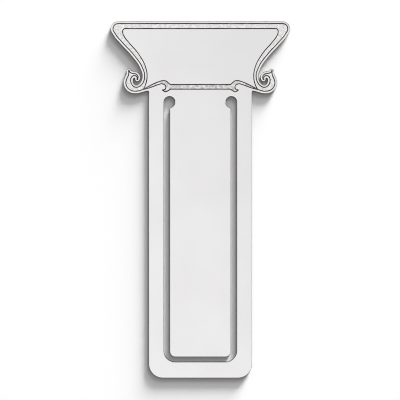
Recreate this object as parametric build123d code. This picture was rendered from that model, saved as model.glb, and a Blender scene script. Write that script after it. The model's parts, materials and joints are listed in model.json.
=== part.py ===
from build123d import *
import os

# Page-clip bookmark in the form of a column: a flat stamped sheet with a capital,
# two volutes, a shaft whose tongue is cut free on three sides, and an engraved border.
# The sheet lies on its back: X across, Y towards the capital, Z out of the front face.
# All sizes are in millimetres.

# Sheet and overall outline
overall_length = 101.6
sheet_thickness = 0.8
capital_width = 51.1
capital_height = 20.6
volute_overhang = 6.52
rim_width = 0.68
edge_round = 0.28

# Shaft, tongue and stop holes
shaft_width = 29.4
rail_width = 4.3
slot_width = 1.7
base_bar_height = 4.6
tip_gap = 1.4
base_corner_radius = 4.0
window_corner_radius = 3.2
tongue_corner_radius = 1.6
stop_hole_diameter = 3.2
stop_hole_drop = 2.4
shoulder_radius = 0.3
tongue_head_radius = 0.45
flex_clearance = 0.05

# Engraved lines and their dark fill
line_width = 0.32
line_depth = 0.12
fill_thickness = 0.1
fill_clearance = 0.02
border_band = 1.42
architrave_band = 1.3

# One overrun for all cuts
cut_overrun = 1.0

# Half outlines of the engraved lines, on the right of the middle. The second share of a point
# runs from the outer line's top to the volute's foot. The first one runs from the middle to the
# shaft's side in a scroll, from there over the overhang in a volute, and from the waist, where
# the volute leaves the flank, to the outer line's corner in a flank.
flank_shares = [
    (0.834, 0.000), (0.970, 0.032), (1.000, 0.072), (0.917, 0.160), (0.704, 0.279),
    (0.354, 0.457), (0.088, 0.635),
]
spiral_shares = [
    (0.179, 0.770), (0.244, 0.870), (0.359, 0.919), (0.534, 0.943), (0.790, 0.850),
    (0.748, 0.790), (0.649, 0.769), (0.500, 0.823),
]
curl_shares = [
    (0.500, 0.823), (0.469, 0.785), (0.546, 0.750), (0.641, 0.739), (0.740, 0.735), (0.870, 0.702),
]
volute_shares = [
    (0.870, 0.702), (0.885, 0.761), (0.962, 0.819), (1.000, 0.877), (0.935, 0.945),
    (0.763, 0.990), (0.553, 1.000), (0.248, 0.976),
]
lower_scroll_shares = [
    (1.003, 0.954), (0.909, 0.929), (0.824, 0.905), (0.741, 0.891), (0.679, 0.917),
    (0.673, 0.957), (0.724, 0.985),
]
hook_shares = [(0.724, 0.985), (0.673, 1.009), (0.621, 0.991)]
inner_flank_shares = [
    (0.691, 0.098), (0.696, 0.129), (0.608, 0.219), (0.503, 0.279), (0.182, 0.457),
]
inner_waist_shares = [(0.149, 0.635), (0.073, 0.770), (0.118, 0.880), (0.248, 0.976)]
upper_scroll_shares = [
    (1.002, 0.929), (0.883, 0.884), (0.785, 0.855), (0.717, 0.843), (0.658, 0.853), (0.613, 0.883),
]
waist_share = 0.179
inner_corner_share = 0.619
architrave_end_share = 0.569
architrave_share = 0.970
shaft_top_share = 0.840

# Unit headings whose cross or dot product is this close to that of parallel ones count as such
parallel_tolerance = 1e-6

# Worked out from the sizes above
top_y = overall_length / 2
foot_y = -overall_length / 2
line_half_width = capital_width / 2 - rim_width
line_height = capital_height - 2 * rim_width
line_top_y = top_y - rim_width
inner_top_y = line_top_y - border_band
architrave_y = line_top_y - architrave_share * line_height
frieze_y = architrave_y + architrave_band
shaft_top_y = line_top_y - shaft_top_share * line_height
shaft_half = shaft_width / 2
window_half = shaft_half - rail_width
tongue_half = window_half - slot_width
window_foot_y = foot_y + base_bar_height
tip_y = window_foot_y + tip_gap
stop_radius = stop_hole_diameter / 2
stop_x = window_half - stop_radius
flex_y = top_y - capital_height - stop_hole_drop
neck_half = stop_x - stop_radius
mid_z = sheet_thickness / 2
waist_x = shaft_half + waist_share * volute_overhang
flank_width = line_half_width - waist_x


def placed(shares, start_x, width):
    points = []
    for x_share, y_share in shares:
        points.append(Vector(start_x + x_share * width, line_top_y - y_share * line_height))
    return points


def on_flank(shares):
    return placed(shares, waist_x, flank_width)


def on_volute(shares):
    return placed(shares, shaft_half, volute_overhang)


def on_scroll(shares):
    return placed(shares, 0, shaft_half)


def mirrored_heading(heading, chord):
    return chord * (2 * heading.dot(chord)) - heading


def headings_along(points, first, last):
    inner = []
    for before, here, after in zip(points, points[1:], points[2:]):
        step_in = here - before
        step_out = after - here
        turn = step_in / step_in.dot(step_in) + step_out / step_out.dot(step_out)
        inner.append(turn.normalized())
    start = first or mirrored_heading(inner[0], (points[1] - points[0]).normalized())
    end = last or mirrored_heading(inner[-1], (points[-1] - points[-2]).normalized())
    return [start, *inner, end]


def tangent_edge(start, heading, end):
    chord = (end - start).normalized()
    if heading.cross(chord).length < parallel_tolerance:
        return Edge.make_line(start, end), heading
    return Edge.make_tangent_arc(start, heading, end), mirrored_heading(heading, chord)


def biarc(start, start_heading, end, end_heading):
    # Two tangent arcs from one point to the next, with the same tangent length at both ends
    step = end - start
    headings = start_heading + end_heading
    spread = 2 * (start_heading.dot(end_heading) - 1)
    along = step.dot(headings)
    if abs(spread) < parallel_tolerance**2:
        reach = step.dot(step) / (2 * along)
    else:
        reach = (along - (along**2 - spread * step.dot(step)) ** 0.5) / spread
    joint = (start + end + (start_heading - end_heading) * reach) / 2
    first, joint_heading = tangent_edge(start, start_heading, joint)
    second, _ = tangent_edge(joint, joint_heading, end)
    return [first, second]


def smooth_run(points, first=None, last=None):
    headings = headings_along(points, first, last)
    run = []
    for index in range(len(points) - 1):
        run += biarc(points[index], headings[index], points[index + 1], headings[index + 1])
    return run


def both_halves(half_edges):
    return make_face([*half_edges, *[edge.mirror(Plane.YZ) for edge in half_edges]])


outwards = Vector(1, 0)
inwards = Vector(-1, 0)


def outer_border():
    side = on_flank(flank_shares) + on_volute(spiral_shares)
    hook = [*on_scroll(hook_shares), Vector(architrave_end_share * shaft_half, architrave_y)]
    half = [
        Edge.make_line(Vector(0, line_top_y), side[0]),
        *smooth_run(side, first=outwards),
        *smooth_run(on_volute(curl_shares)),
        *smooth_run(on_volute(volute_shares) + on_scroll(lower_scroll_shares)),
        *smooth_run(hook, last=inwards),
        Edge.make_line(hook[-1], Vector(0, architrave_y)),
    ]
    return both_halves(half)


def inner_border():
    corner = Vector(waist_x + inner_corner_share * flank_width, inner_top_y)
    side = [corner, *on_flank(inner_flank_shares), *on_volute(inner_waist_shares)]
    frieze_end = Vector(architrave_end_share * shaft_half, frieze_y)
    half = [
        Edge.make_line(Vector(0, inner_top_y), corner),
        *smooth_run(side, first=outwards),
        *smooth_run([side[-1], *on_scroll(upper_scroll_shares), frieze_end], last=inwards),
        Edge.make_line(frieze_end, Vector(0, frieze_y)),
    ]
    return both_halves(half)


def line_band(border, width):
    return offset(border, amount=width / 2) - offset(border, amount=-width / 2)


def panel(half_width, low_y, high_y, low_corner_radius):
    height = high_y - low_y
    outline = Pos(0, low_y + height / 2) * Rectangle(2 * half_width, height)
    return fillet(outline.vertices().group_by(Axis.Y)[0], low_corner_radius)


def round_both(outline, x, y, radius):
    # Rounds the corners nearest to a point and to its mirror image
    points = [Vector(side * x, y) for side in (-1, 1)]
    return fillet([outline.vertices().sort_by_distance(point)[0] for point in points], radius)


def sheet_outline(outer):
    shaft = panel(shaft_half, foot_y, shaft_top_y, base_corner_radius)
    window = panel(window_half, window_foot_y, flex_y, window_corner_radius)
    tongue = panel(tongue_half, tip_y, flex_y, tongue_corner_radius)
    holes = [Pos(side * stop_x, flex_y) * Circle(stop_radius) for side in (-1, 1)]
    column = offset(outer, amount=rim_width) + shaft - (window - tongue) - holes
    column = round_both(column, shaft_half, architrave_y, shoulder_radius)
    return round_both(column, tongue_half, flex_y - stop_radius, tongue_head_radius)


def stamped_sheet(outer):
    sheet = extrude(sheet_outline(outer), sheet_thickness)
    front = sheet.faces().sort_by(Axis.Z)[-1]
    return sheet.fillet(edge_round, front.edges())


def tongue_room():
    # Block that takes in the tongue up to the flex line and ends halfway across the slot
    half_width = (tongue_half + window_half) / 2
    corner_radius = (tongue_corner_radius + window_corner_radius) / 2
    room = panel(half_width, (tip_y + window_foot_y) / 2, flex_y, corner_radius)
    return Pos(0, 0, -cut_overrun) * extrude(room, sheet_thickness + 2 * cut_overrun)


def flex_rod(radius, half_length):
    # Round bar on the flex line, at the middle of the sheet
    return Pos(0, flex_y, mid_z) * Rot(0, 90, 0) * Cylinder(radius, 2 * half_length)


def groove_cutter(band):
    return Pos(0, 0, sheet_thickness - line_depth) * extrude(band, line_depth + cut_overrun)


def line_fill(band):
    return Pos(0, 0, sheet_thickness - line_depth) * extrude(band, fill_thickness)


def column_plate(sheet, bands):
    plate = sheet - tongue_room() - flex_rod(mid_z + flex_clearance, stop_x)
    for band in bands:
        plate = plate - groove_cutter(band)
    return plate


def spring_tongue(sheet):
    return (sheet & tongue_room()) + flex_rod(mid_z, neck_half)


outer = outer_border()
inner = inner_border()
outer_groove = line_band(outer, line_width)
inner_groove = line_band(inner, line_width)
outer_fill = line_band(outer, line_width - 2 * fill_clearance)
inner_fill = line_band(inner, line_width - 2 * fill_clearance) - outer_groove

sheet = stamped_sheet(outer)

nodes = {
    "column_plate": column_plate(sheet, [outer_groove, inner_groove]),
    "spring_tongue": spring_tongue(sheet),
    "outer_line_fill": line_fill(outer_fill),
    "inner_line_fill": line_fill(inner_fill),
}

os.makedirs("parts", exist_ok=True)
for name, shape in nodes.items():
    export_step(shape, f"parts/{name}.step")
    print(name, round(shape.volume, 2), len(shape.solids()))
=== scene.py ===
import json
import math
import random

import bmesh
import bpy
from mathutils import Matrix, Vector
from mathutils.bvhtree import BVHTree


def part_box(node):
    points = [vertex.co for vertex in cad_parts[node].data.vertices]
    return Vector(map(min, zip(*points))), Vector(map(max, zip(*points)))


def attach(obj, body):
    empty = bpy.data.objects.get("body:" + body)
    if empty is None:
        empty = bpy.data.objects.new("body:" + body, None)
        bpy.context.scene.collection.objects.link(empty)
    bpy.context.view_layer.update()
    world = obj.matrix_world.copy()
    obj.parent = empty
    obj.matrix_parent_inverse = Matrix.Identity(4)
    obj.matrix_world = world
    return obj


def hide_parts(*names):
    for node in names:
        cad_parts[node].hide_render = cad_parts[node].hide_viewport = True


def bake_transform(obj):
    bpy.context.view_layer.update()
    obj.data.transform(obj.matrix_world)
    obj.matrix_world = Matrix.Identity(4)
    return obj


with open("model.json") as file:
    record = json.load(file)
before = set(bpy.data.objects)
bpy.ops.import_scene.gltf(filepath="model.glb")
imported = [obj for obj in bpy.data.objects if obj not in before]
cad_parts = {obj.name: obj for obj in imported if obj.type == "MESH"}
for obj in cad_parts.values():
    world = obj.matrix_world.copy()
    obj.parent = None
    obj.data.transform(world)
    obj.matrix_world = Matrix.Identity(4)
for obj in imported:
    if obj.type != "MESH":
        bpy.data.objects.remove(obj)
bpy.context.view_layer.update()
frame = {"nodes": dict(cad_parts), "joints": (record.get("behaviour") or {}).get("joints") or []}        # column plate, spring tongue and two line fills, in metres
scene = bpy.context.scene
scene.view_settings.view_transform = "Standard"
mm = 0.001
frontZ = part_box("column_plate")[1].z
flexPoint = Vector(frame["joints"][0]["pos_m"])
weldDistance = 0.0001 * mm
levelNormal = 0.999         # a face whose normal stands this high counts as level
above = Vector((0, 0, mm))  # from a spot on the front face to where a ray down on it starts
print("frame loaded:", ", ".join(sorted(frame["nodes"])))


def hexToLinear(hexColour):
    channels = [int(hexColour[start:start + 2], 16) / 255 for start in (1, 3, 5)]
    return [c / 12.92 if c <= 0.04045 else ((c + 0.055) / 1.055) ** 2.4 for c in channels] + [1.0]


def addNode(tree, kind, settings, links):
    node = tree.nodes.new(kind)
    for name, value in settings.items():  # an input's name or number is a socket, the rest are properties
        if isinstance(name, int) or name in node.inputs:
            node.inputs[name].default_value = value
        else:
            setattr(node, name, value)
    for name, socket in links.items():
        tree.links.new(socket, node.inputs[name])
    return node


def newMaterial(name):
    material = bpy.data.materials.new(name)
    material.use_nodes = True
    return material, material.node_tree, material.node_tree.nodes["Principled BSDF"]


# Silver plate, polished on a wheel: an even bright grey that takes on the light of the room, a little
# cloudy where the wheel dwelt, with faint polishing lines along the column. The sheared side walls and
# the turn of the edge, which the wheel misses, are satin and greyer, and painted darker still: painted
# shade that draws a dark line along the part's outline
silver = dict(
    # the sheared grey is the satin walls' own colour and also painted shade, for the dark line along the
    # outline
    bright="#EEEDED", dull="#E3E1E2", shearedGreyAndShade="#8E8B88",
    roughness=(0.16, 0.26), shearedRoughness=0.5,
    shearedAndShadeTilt=(0.9, 0.65),  # height of the normal over which polish gives way to the sheared wall and its painted shade
    cloudSize=18,             # mm
    cloudSpread=(0.3, 0.7),   # noise over which the plate goes from its roughest to its smoothest
    lineSpacing=0.5,          # mm, far coarser than real polishing lines, which would not show
    lineLength=15,            # mm
    lineHeight=0.002,         # mm
)


def polishedSilverPlate():
    material, tree, shader = newMaterial("polishedSilverPlate")
    surface = addNode(tree, "ShaderNodeTexCoord", {}, {})
    place = surface.outputs["Object"]
    clouds = addNode(tree, "ShaderNodeTexNoise", {"Scale": 1 / (silver["cloudSize"] * mm), "Detail": 4},
                     {"Vector": place})
    colour = addNode(tree, "ShaderNodeMix", {"data_type": "RGBA", 6: hexToLinear(silver["dull"]),
                                             7: hexToLinear(silver["bright"])}, {0: clouds.outputs[0]})
    polish = addNode(tree, "ShaderNodeMapRange", {"From Min": silver["cloudSpread"][0],
                                                  "From Max": silver["cloudSpread"][1],
                                                  "To Min": silver["roughness"][1],
                                                  "To Max": silver["roughness"][0]},
                     {"Value": clouds.outputs[0]})
    upright = addNode(tree, "ShaderNodeSeparateXYZ", {}, {0: surface.outputs["Normal"]})
    tilt = addNode(tree, "ShaderNodeMath", {"operation": "ABSOLUTE"}, {0: upright.outputs["Z"]})
    # mask over the sheared wall and the turn of the edge, where the colour takes the grey with its painted
    # shade
    wallAndShadeMask = addNode(tree, "ShaderNodeMapRange", {"From Min": silver["shearedAndShadeTilt"][0],
                                                "From Max": silver["shearedAndShadeTilt"][1]},
                   {"Value": tilt.outputs[0]})
    colourWithEdgeShade = addNode(tree, "ShaderNodeMix", {"data_type": "RGBA", 7: hexToLinear(silver["shearedGreyAndShade"])},
                     {0: wallAndShadeMask.outputs[0], 6: colour.outputs[2]})
    gloss = addNode(tree, "ShaderNodeMix", {"data_type": "FLOAT", 3: silver["shearedRoughness"]},
                    {0: wallAndShadeMask.outputs[0], 2: polish.outputs[0]})
    across = 1 / (silver["lineSpacing"] * mm)
    along = 1 / (silver["lineLength"] * mm)
    stretch = addNode(tree, "ShaderNodeMapping", {"Scale": (across, along, across)}, {"Vector": place})
    lines = addNode(tree, "ShaderNodeTexNoise", {"Scale": 1, "Detail": 2}, {"Vector": stretch.outputs[0]})
    bump = addNode(tree, "ShaderNodeBump", {"Strength": 1, "Distance": silver["lineHeight"] * mm},
                   {"Height": lines.outputs[0]})
    shader.inputs["Metallic"].default_value = 1
    tree.links.new(colourWithEdgeShade.outputs[2], shader.inputs["Base Color"])
    tree.links.new(gloss.outputs[0], shader.inputs["Roughness"])
    tree.links.new(bump.outputs[0], shader.inputs["Normal"])
    return material


# Black enamel, wiped into the struck lines and stoved: dark and satin, greyer where the wipe thinned it
enamel = dict(
    dark="#0C0B0D", thin="#615E5C",
    roughness=(0.35, 0.6),
    patchSize=2.2,     # mm
    wipe=(0.42, 0.7),  # noise over which the enamel goes from full to thin
)


def blackLineEnamel():
    material, tree, shader = newMaterial("blackLineEnamel")
    place = addNode(tree, "ShaderNodeTexCoord", {}, {}).outputs["Object"]
    patches = addNode(tree, "ShaderNodeTexNoise", {"Scale": 1 / (enamel["patchSize"] * mm), "Detail": 3},
                      {"Vector": place})
    thinness = addNode(tree, "ShaderNodeMapRange", {"From Min": enamel["wipe"][0],
                                                    "From Max": enamel["wipe"][1]},
                       {"Value": patches.outputs[0]})
    colour = addNode(tree, "ShaderNodeMix", {"data_type": "RGBA", 6: hexToLinear(enamel["dark"]),
                                             7: hexToLinear(enamel["thin"])}, {0: thinness.outputs[0]})
    satin = addNode(tree, "ShaderNodeMapRange", {"To Min": enamel["roughness"][0],
                                                 "To Max": enamel["roughness"][1]},
                    {"Value": patches.outputs[0]})
    tree.links.new(colour.outputs[2], shader.inputs["Base Color"])
    tree.links.new(satin.outputs[0], shader.inputs["Roughness"])
    return material


# Silver plate, oxidised and rubbed back: dull grey left in the hollows between the pips
oxide = dict(
    border=("#FDFDFC", "#DEDCDA"),      # clean and stained
    architrave=("#F6F5F3", "#B6B4B1"),  # clean and stained, less rubbed back
    roughness=(0.28, 0.5),
    grainSize=0.8,                      # mm
    stainSpread=(0.35, 0.65),           # noise over which the silver goes from clean to stained
)


def oxidisedSilver(name, clean, stained):
    material, tree, shader = newMaterial(name)
    place = addNode(tree, "ShaderNodeTexCoord", {}, {}).outputs["Object"]
    grain = addNode(tree, "ShaderNodeTexNoise", {"Scale": 1 / (oxide["grainSize"] * mm), "Detail": 3},
                    {"Vector": place})
    stain = addNode(tree, "ShaderNodeMapRange", {"From Min": oxide["stainSpread"][0],
                                                 "From Max": oxide["stainSpread"][1]},
                    {"Value": grain.outputs[0]})
    colour = addNode(tree, "ShaderNodeMix", {"data_type": "RGBA", 6: hexToLinear(clean),
                                             7: hexToLinear(stained)}, {0: stain.outputs[0]})
    dullness = addNode(tree, "ShaderNodeMapRange", {"To Min": oxide["roughness"][0],
                                                    "To Max": oxide["roughness"][1]},
                       {"Value": stain.outputs[0]})
    shader.inputs["Metallic"].default_value = 1
    tree.links.new(colour.outputs[2], shader.inputs["Base Color"])
    tree.links.new(dullness.outputs[0], shader.inputs["Roughness"])
    return material


silverPlate = polishedSilverPlate()
lineEnamel = blackLineEnamel()
for nodeName, material in (("column_plate", silverPlate), ("outer_line_fill", lineEnamel),
                           ("inner_line_fill", lineEnamel)):
    frame["nodes"][nodeName].data.materials[0] = material
print("materials on the plate and its lines")


def meshObject(bm, name, materials):
    mesh = bpy.data.meshes.new(name)
    bm.to_mesh(mesh)
    bm.free()
    if "custom_normal" in mesh.attributes:  # normals of the copied mesh, which no longer fit
        mesh.attributes.remove(mesh.attributes["custom_normal"])
    for material in materials:
        mesh.materials.append(material)
    piece = bpy.data.objects.new(name, mesh)
    scene.collection.objects.link(piece)
    return piece


def nodeCopy(nodeName):
    bm = bmesh.new()
    bm.from_mesh(frame["nodes"][nodeName].data)
    bmesh.ops.remove_doubles(bm, verts=bm.verts, dist=weldDistance)
    bm.normal_update()
    return bm


def allOf(bm):
    return bm.verts[:] + bm.edges[:] + bm.faces[:]


def ofKind(geom, kind):
    return [part for part in geom if isinstance(part, kind)]


# Tongue of the sheet, cut across so that it can bend, with its root drawn up to the column's lip
tongue = dict(
    rootCut=0.05,       # mm below the flex line
    bendRun=(-34, 83),  # mm from the flex line, past both ends
    stripLength=1.0,    # mm
)


def springTongue():
    bm = nodeCopy("spring_tongue")
    rootY = flexPoint.y - tongue["rootCut"] * mm
    cut = bmesh.ops.bisect_plane(bm, geom=allOf(bm), plane_co=(0, rootY, 0), plane_no=(0, 1, 0),
                                 clear_outer=True)
    plate = frame["nodes"]["column_plate"].data
    lipY = min(v.co.y for v in plate.vertices if v.co.z > frontZ - weldDistance and v.co.y > flexPoint.y)
    rim = ofKind(cut["geom_cut"], bmesh.types.BMEdge)
    drawn = bmesh.ops.extrude_edge_only(bm, edges=rim)["geom"]
    bmesh.ops.translate(bm, verts=ofKind(drawn, bmesh.types.BMVert), vec=(0, lipY - rootY, 0))
    openEdges = [edge for edge in ofKind(drawn, bmesh.types.BMEdge) if edge.is_boundary]
    bmesh.ops.edgeloop_fill(bm, edges=openEdges)
    bmesh.ops.recalc_face_normals(bm, faces=bm.faces)
    tipY = min(v.co.y for v in bm.verts)
    strips = int((flexPoint.y - tipY) / (tongue["stripLength"] * mm)) + 1
    for strip in range(strips):
        bmesh.ops.bisect_plane(bm, geom=allOf(bm), plane_no=(0, 1, 0),
                               plane_co=(0, flexPoint.y - strip * tongue["stripLength"] * mm, 0))
    bmesh.ops.dissolve_degenerate(bm, dist=weldDistance, edges=bm.edges)
    bm.normal_update()
    for face in bm.faces:
        face.smooth = abs(face.normal.z) < levelNormal
    return meshObject(bm, "springTongue", [silverPlate])


tonguePiece = springTongue()
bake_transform(tonguePiece)
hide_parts("spring_tongue")
print("tongue:", len(tonguePiece.data.polygons), "faces")


# Low dome, for pips and pools: the cap of a ball
dome = dict(
    cutHeight=0.5,   # share of the ball's radius at which the cap is cut off
    subdivisions=2,  # of the ball, for a few dozen faces in the cap
)


def scatterDomes(bm, radius, height, places, materialIndex):
    # a closed dome on each place, copied from one that is shaped at the origin
    domes = bmesh.new()
    bmesh.ops.create_icosphere(domes, subdivisions=dome["subdivisions"], radius=1)
    bmesh.ops.bisect_plane(domes, geom=allOf(domes), plane_co=(0, 0, dome["cutHeight"]),
                           plane_no=(0, 0, 1), clear_inner=True)
    bmesh.ops.edgeloop_fill(domes, edges=[edge for edge in domes.edges if edge.is_boundary])
    bmesh.ops.recalc_face_normals(domes, faces=domes.faces)
    bmesh.ops.translate(domes, verts=domes.verts, vec=(0, 0, -dome["cutHeight"]))
    spread = radius * mm / math.sqrt(1 - dome["cutHeight"] ** 2)
    rise = height * mm / (1 - dome["cutHeight"])
    bmesh.ops.scale(domes, verts=domes.verts, vec=(spread, spread, rise))
    for face in domes.faces:
        face.smooth = True
        face.material_index = materialIndex
    first = allOf(domes)
    for place in places:
        copied = bmesh.ops.duplicate(domes, geom=first)["geom"]
        bmesh.ops.translate(domes, verts=ofKind(copied, bmesh.types.BMVert), vec=place)
    bmesh.ops.delete(domes, geom=ofKind(first, bmesh.types.BMVert), context="VERTS")
    mesh = bpy.data.meshes.new("domes")
    domes.to_mesh(mesh)
    domes.free()
    bm.from_mesh(mesh)
    bpy.data.meshes.remove(mesh)


# Struck ground between the border lines: a thin oxidised skin on the face, with bright pips on it
stipple = dict(
    pitch=0.36, jitter=0.05,         # mm
    pipRadius=0.11, pipHeight=0.03,  # mm
    edgeMargin=0.03,                 # mm between a pip and the engraved line
    edgePoints=8,                    # points round a pip that have to lie on the ground
    skinRise=0.004, skinDepth=0.02,  # mm
    architraveY=32.1,                # mm, between the two lines of the architrave
    seed=5,
)


def frontPatch(y):
    # the patch of the plate's front face at a height on its middle, with the engraved lines as its edges
    bm = nodeCopy("column_plate")
    frontLimit = frontZ - weldDistance
    others = [f for f in bm.faces if f.normal.z < levelNormal or f.calc_center_median().z < frontLimit]
    bmesh.ops.delete(bm, geom=others, context="FACES")
    bm.faces.ensure_lookup_table()
    startFace = BVHTree.FromBMesh(bm).ray_cast(Vector((0, y, frontZ)) + above, -above)[2]
    patch = {bm.faces[startFace]}
    ring = set(patch)
    while ring:
        ring = {f for face in ring for edge in face.edges for f in edge.link_faces} - patch
        patch |= ring
    bmesh.ops.delete(bm, geom=[f for f in bm.faces if f not in patch], context="FACES")
    return bm


def pipPlaces(patch):
    # staggered rows, a little uneven, kept where the whole pip lies on the patch
    surface = BVHTree.FromBMesh(patch)
    left, right = [limit(v.co.x for v in patch.verts) for limit in (min, max)]
    low, high = [limit(v.co.y for v in patch.verts) for limit in (min, max)]
    pitch = stipple["pitch"] * mm
    rowStep = pitch * math.sqrt(3) / 2
    jitter = stipple["jitter"] * mm
    reach = (stipple["pipRadius"] + stipple["edgeMargin"]) * mm
    turns = [math.tau * point / stipple["edgePoints"] for point in range(stipple["edgePoints"])]
    ring = [Vector((math.cos(turn), math.sin(turn), 0)) * reach for turn in turns]
    chance = random.Random(stipple["seed"])
    places = []
    for row in range(int((high - low) / rowStep) + 1):
        for column in range(int((right - left) / pitch) + 1):
            x = left + (column + 0.5 * (row % 2)) * pitch + chance.uniform(-1, 1) * jitter
            y = low + row * rowStep + chance.uniform(-1, 1) * jitter
            spot = Vector((x, y, frontZ))
            if all(surface.ray_cast(spot + step + above, -above)[0] for step in ring):
                places.append(spot)
    return places


def stippledGround(name, y, groundMaterial):
    bm = frontPatch(y)
    places = pipPlaces(bm)
    bmesh.ops.translate(bm, verts=bm.verts, vec=(0, 0, stipple["skinRise"] * mm))
    bmesh.ops.solidify(bm, geom=bm.faces[:], thickness=stipple["skinDepth"] * mm)
    scatterDomes(bm, stipple["pipRadius"], stipple["pipHeight"], places, materialIndex=1)
    piece = meshObject(bm, name, [groundMaterial, silverPlate])
    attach(piece, "column")
    print(name + ":", len(places), "pips,", len(piece.data.polygons), "faces")


borderY = (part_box("outer_line_fill")[1].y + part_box("inner_line_fill")[1].y) / 2
borderGround = oxidisedSilver("oxidisedSilverBorder", *oxide["border"])
architraveGround = oxidisedSilver("oxidisedSilverArchitrave", *oxide["architrave"])
stippledGround("stippledBorder", borderY, borderGround)
stippledGround("stippledArchitrave", stipple["architraveY"] * mm, architraveGround)


# Enamel that pooled where the outer line turns back: at the horns and curls of the volutes and the
# hooks of the scrolls
pool = dict(
    turns=((20.37, 36.61), (17.96, 34.29), (10.64, 31.17)),  # mm, on the right, and mirrored to the left
    radius=0.34, height=0.03,                                # mm
    sunk=0.008,                                              # mm below the front face
)


def enamelPools():
    bm = bmesh.new()
    places = []
    for x, y in pool["turns"]:
        for side in (-1, 1):
            places.append(Vector((side * x * mm, y * mm, frontZ - pool["sunk"] * mm)))
    scatterDomes(bm, pool["radius"], pool["height"], places, materialIndex=0)
    piece = meshObject(bm, "enamelPools", [lineEnamel])
    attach(piece, "column")
    print("enamel pools:", len(places))


enamelPools()


# White card under the part, and two soft lamps at the upper right, one low and one above it
studio = dict(
    cardDrop=0.02,     # mm below the part's back
    cardHalf=1.5,      # m
    cardColour="#FAFAFA",
    lampAzimuth=65,    # degrees from the part's X axis
    # elevation and width in degrees, and the level, which with the room's makes the card white
    lamps=dict(lowLamp=(3, 22, 0.41), softLamp=(18, 30, 0.2)),
    roomLevel=0.29,
    roomLean=0.27,     # how much brighter the room is on the lamps' side, and darker across from it
)
lampTurn = math.radians(studio["lampAzimuth"])
lampBearing = Vector((math.cos(lampTurn), math.sin(lampTurn), 0))


def whiteCard():
    bm = bmesh.new()
    bmesh.ops.create_grid(bm, x_segments=1, y_segments=1, size=studio["cardHalf"])
    bmesh.ops.translate(bm, verts=bm.verts, vec=(0, 0, -studio["cardDrop"] * mm))
    material, _, shader = newMaterial("mattWhiteCard")
    shader.inputs["Base Color"].default_value = hexToLinear(studio["cardColour"])
    shader.inputs["Roughness"].default_value = 1
    shader.inputs["Specular IOR Level"].default_value = 0
    meshObject(bm, "whiteCard", [material])


def studioLamps():
    for name, (elevation, width, level) in studio["lamps"].items():
        lamp = bpy.data.lights.new(name, "SUN")
        height = math.radians(elevation)
        towards = lampBearing * math.cos(height) + Vector((0, 0, math.sin(height)))
        lamp.energy = level * math.pi / towards.z  # a lower lamp is stronger, for as much light on the card
        lamp.angle = math.radians(width)
        holder = bpy.data.objects.new(name, lamp)
        holder.rotation_euler = towards.to_track_quat("Z", "Y").to_euler()
        holder.visible_glossy = False  # the metal mirrors the room alone
        scene.collection.objects.link(holder)


# What the metal mirrors: a white ceiling, pale walls, and a darker wall beyond the capital
room = dict(
    # brightness by the sine of the height, from the table's level up to the ceiling
    paleWall=((0.0, 0.95), (0.25, 0.82), (0.5, 0.98), (0.75, 1.2), (0.93, 1.018)),
    darkWall=((0.0, 0.92), (0.25, 0.8), (0.5, 0.66), (0.65, 0.45), (0.8, 0.33), (0.93, 1.018)),
    darkSide=(0.3, 0.95),      # towards the dark wall, across the table
    darkEdges=(0.35, 0.85),    # how squarely a wall faces that way, pale up to the first
    brightSide=(-0.9, -0.44),  # the ceiling is brighter on this side, and darker across from it
    brightReach=0.17,          # how far from straight up it is brightest
    brightGain=0.14,
    ceilingFoot=(0.9, 0.97),   # sine of the height over which that begins
)


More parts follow.
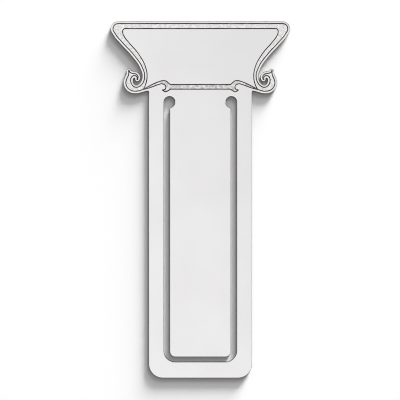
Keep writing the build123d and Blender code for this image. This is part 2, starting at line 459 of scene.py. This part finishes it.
def studioRoom():
    world = bpy.data.worlds.new("studioRoom")
    world.use_nodes = True
    tree = world.node_tree
    direction = addNode(tree, "ShaderNodeTexCoord", {}, {}).outputs["Generated"]
    height = addNode(tree, "ShaderNodeSeparateXYZ", {}, {0: direction}).outputs["Z"]
    walls = []
    for stops in (room["paleWall"], room["darkWall"]):
        ramp = addNode(tree, "ShaderNodeValToRGB", {}, {0: height})
        while len(ramp.color_ramp.elements) < len(stops):
            ramp.color_ramp.elements.new(1)
        for element, (position, value) in zip(ramp.color_ramp.elements, stops):
            element.position = position
            element.color = (value, value, value, 1)
        walls.append(ramp.outputs["Color"])
    flat = addNode(tree, "ShaderNodeVectorMath", {"operation": "MULTIPLY", 1: (1, 1, 0)}, {0: direction})
    bearing = addNode(tree, "ShaderNodeVectorMath", {"operation": "NORMALIZE"}, {0: flat.outputs[0]})
    facing = addNode(tree, "ShaderNodeVectorMath", {"operation": "DOT_PRODUCT", 1: (*room["darkSide"], 0)},
                     {0: bearing.outputs[0]})
    darkness = addNode(tree, "ShaderNodeMapRange", {"interpolation_type": "SMOOTHSTEP",
                                                    "From Min": room["darkEdges"][0],
                                                    "From Max": room["darkEdges"][1]},
                       {"Value": facing.outputs["Value"]})
    around = addNode(tree, "ShaderNodeMix", {"data_type": "FLOAT"},
                     {0: darkness.outputs[0], 2: walls[0], 3: walls[1]})
    lean = addNode(tree, "ShaderNodeVectorMath", {"operation": "DOT_PRODUCT", 1: (*room["brightSide"], 0)},
                   {0: direction})
    gain = addNode(tree, "ShaderNodeMapRange", {"From Min": -room["brightReach"],
                                                "From Max": room["brightReach"],
                                                "To Min": -room["brightGain"],
                                                "To Max": room["brightGain"]},
                   {"Value": lean.outputs["Value"]})
    ceiling = addNode(tree, "ShaderNodeMapRange", {"From Min": room["ceilingFoot"][0],
                                                   "From Max": room["ceilingFoot"][1]},
                      {"Value": height})
    mirrored = addNode(tree, "ShaderNodeMath", {"operation": "MULTIPLY_ADD"},
                       {0: gain.outputs[0], 1: ceiling.outputs[0], 2: around.outputs[0]})
    path = addNode(tree, "ShaderNodeLightPath", {}, {})
    glossy = addNode(tree, "ShaderNodeMath", {"operation": "MAXIMUM"},
                     {0: path.outputs["Is Glossy Ray"], 1: path.outputs["Is Transmission Ray"]})
    direct = addNode(tree, "ShaderNodeMath", {"operation": "LESS_THAN", 1: 0.5},  # no matt surface before
                     {0: path.outputs["Diffuse Depth"]})
    mirror = addNode(tree, "ShaderNodeMath", {"operation": "MULTIPLY"},
                     {0: glossy.outputs[0], 1: direct.outputs[0]})
    lampSide = addNode(tree, "ShaderNodeVectorMath", {"operation": "DOT_PRODUCT", 1: lampBearing},
                       {0: direction})
    ambient = addNode(tree, "ShaderNodeMath", {"operation": "MULTIPLY_ADD", 1: studio["roomLean"],
                                               2: studio["roomLevel"]}, {0: lampSide.outputs["Value"]})
    lit = addNode(tree, "ShaderNodeMix", {"data_type": "FLOAT"},
                  {0: mirror.outputs[0], 2: ambient.outputs[0], 3: mirrored.outputs[0]})
    seen = addNode(tree, "ShaderNodeMix", {"data_type": "FLOAT", 3: 1.0},  # the camera sees plain white
                   {0: path.outputs["Is Camera Ray"], 2: lit.outputs[0]})
    background = tree.nodes["Background"]
    tree.links.new(seen.outputs[0], background.inputs["Strength"])
    background.inputs["Color"].default_value = (1, 1, 1, 1)
    scene.world = world


# Straight down on the part through a long lens
shot = dict(
    lens=120,                    # mm
    nearLimit=10,                # mm from the camera
    frameWidth=113.9,            # mm across the picture, at the front face
    framePixels=400,
    middlePixel=(200.4, 199.6),  # where the part's middle falls in the picture
    filterWidth=1.0,             # pixels, for a crisp picture
)


def camera():
    data = bpy.data.cameras.new("camera")
    data.lens = shot["lens"]
    data.clip_start = shot["nearLimit"] * mm
    holder = bpy.data.objects.new("camera", data)
    perPixel = shot["frameWidth"] * mm / shot["framePixels"]
    centre = shot["framePixels"] / 2
    distance = shot["frameWidth"] * mm * shot["lens"] / data.sensor_width
    holder.location = ((centre - shot["middlePixel"][0]) * perPixel,
                       (shot["middlePixel"][1] - centre) * perPixel, frontZ + distance)
    scene.collection.objects.link(holder)
    scene.camera = holder
    scene.cycles.filter_width = shot["filterWidth"]


whiteCard()
studioLamps()
studioRoom()
camera()
print("stage, light and camera set")
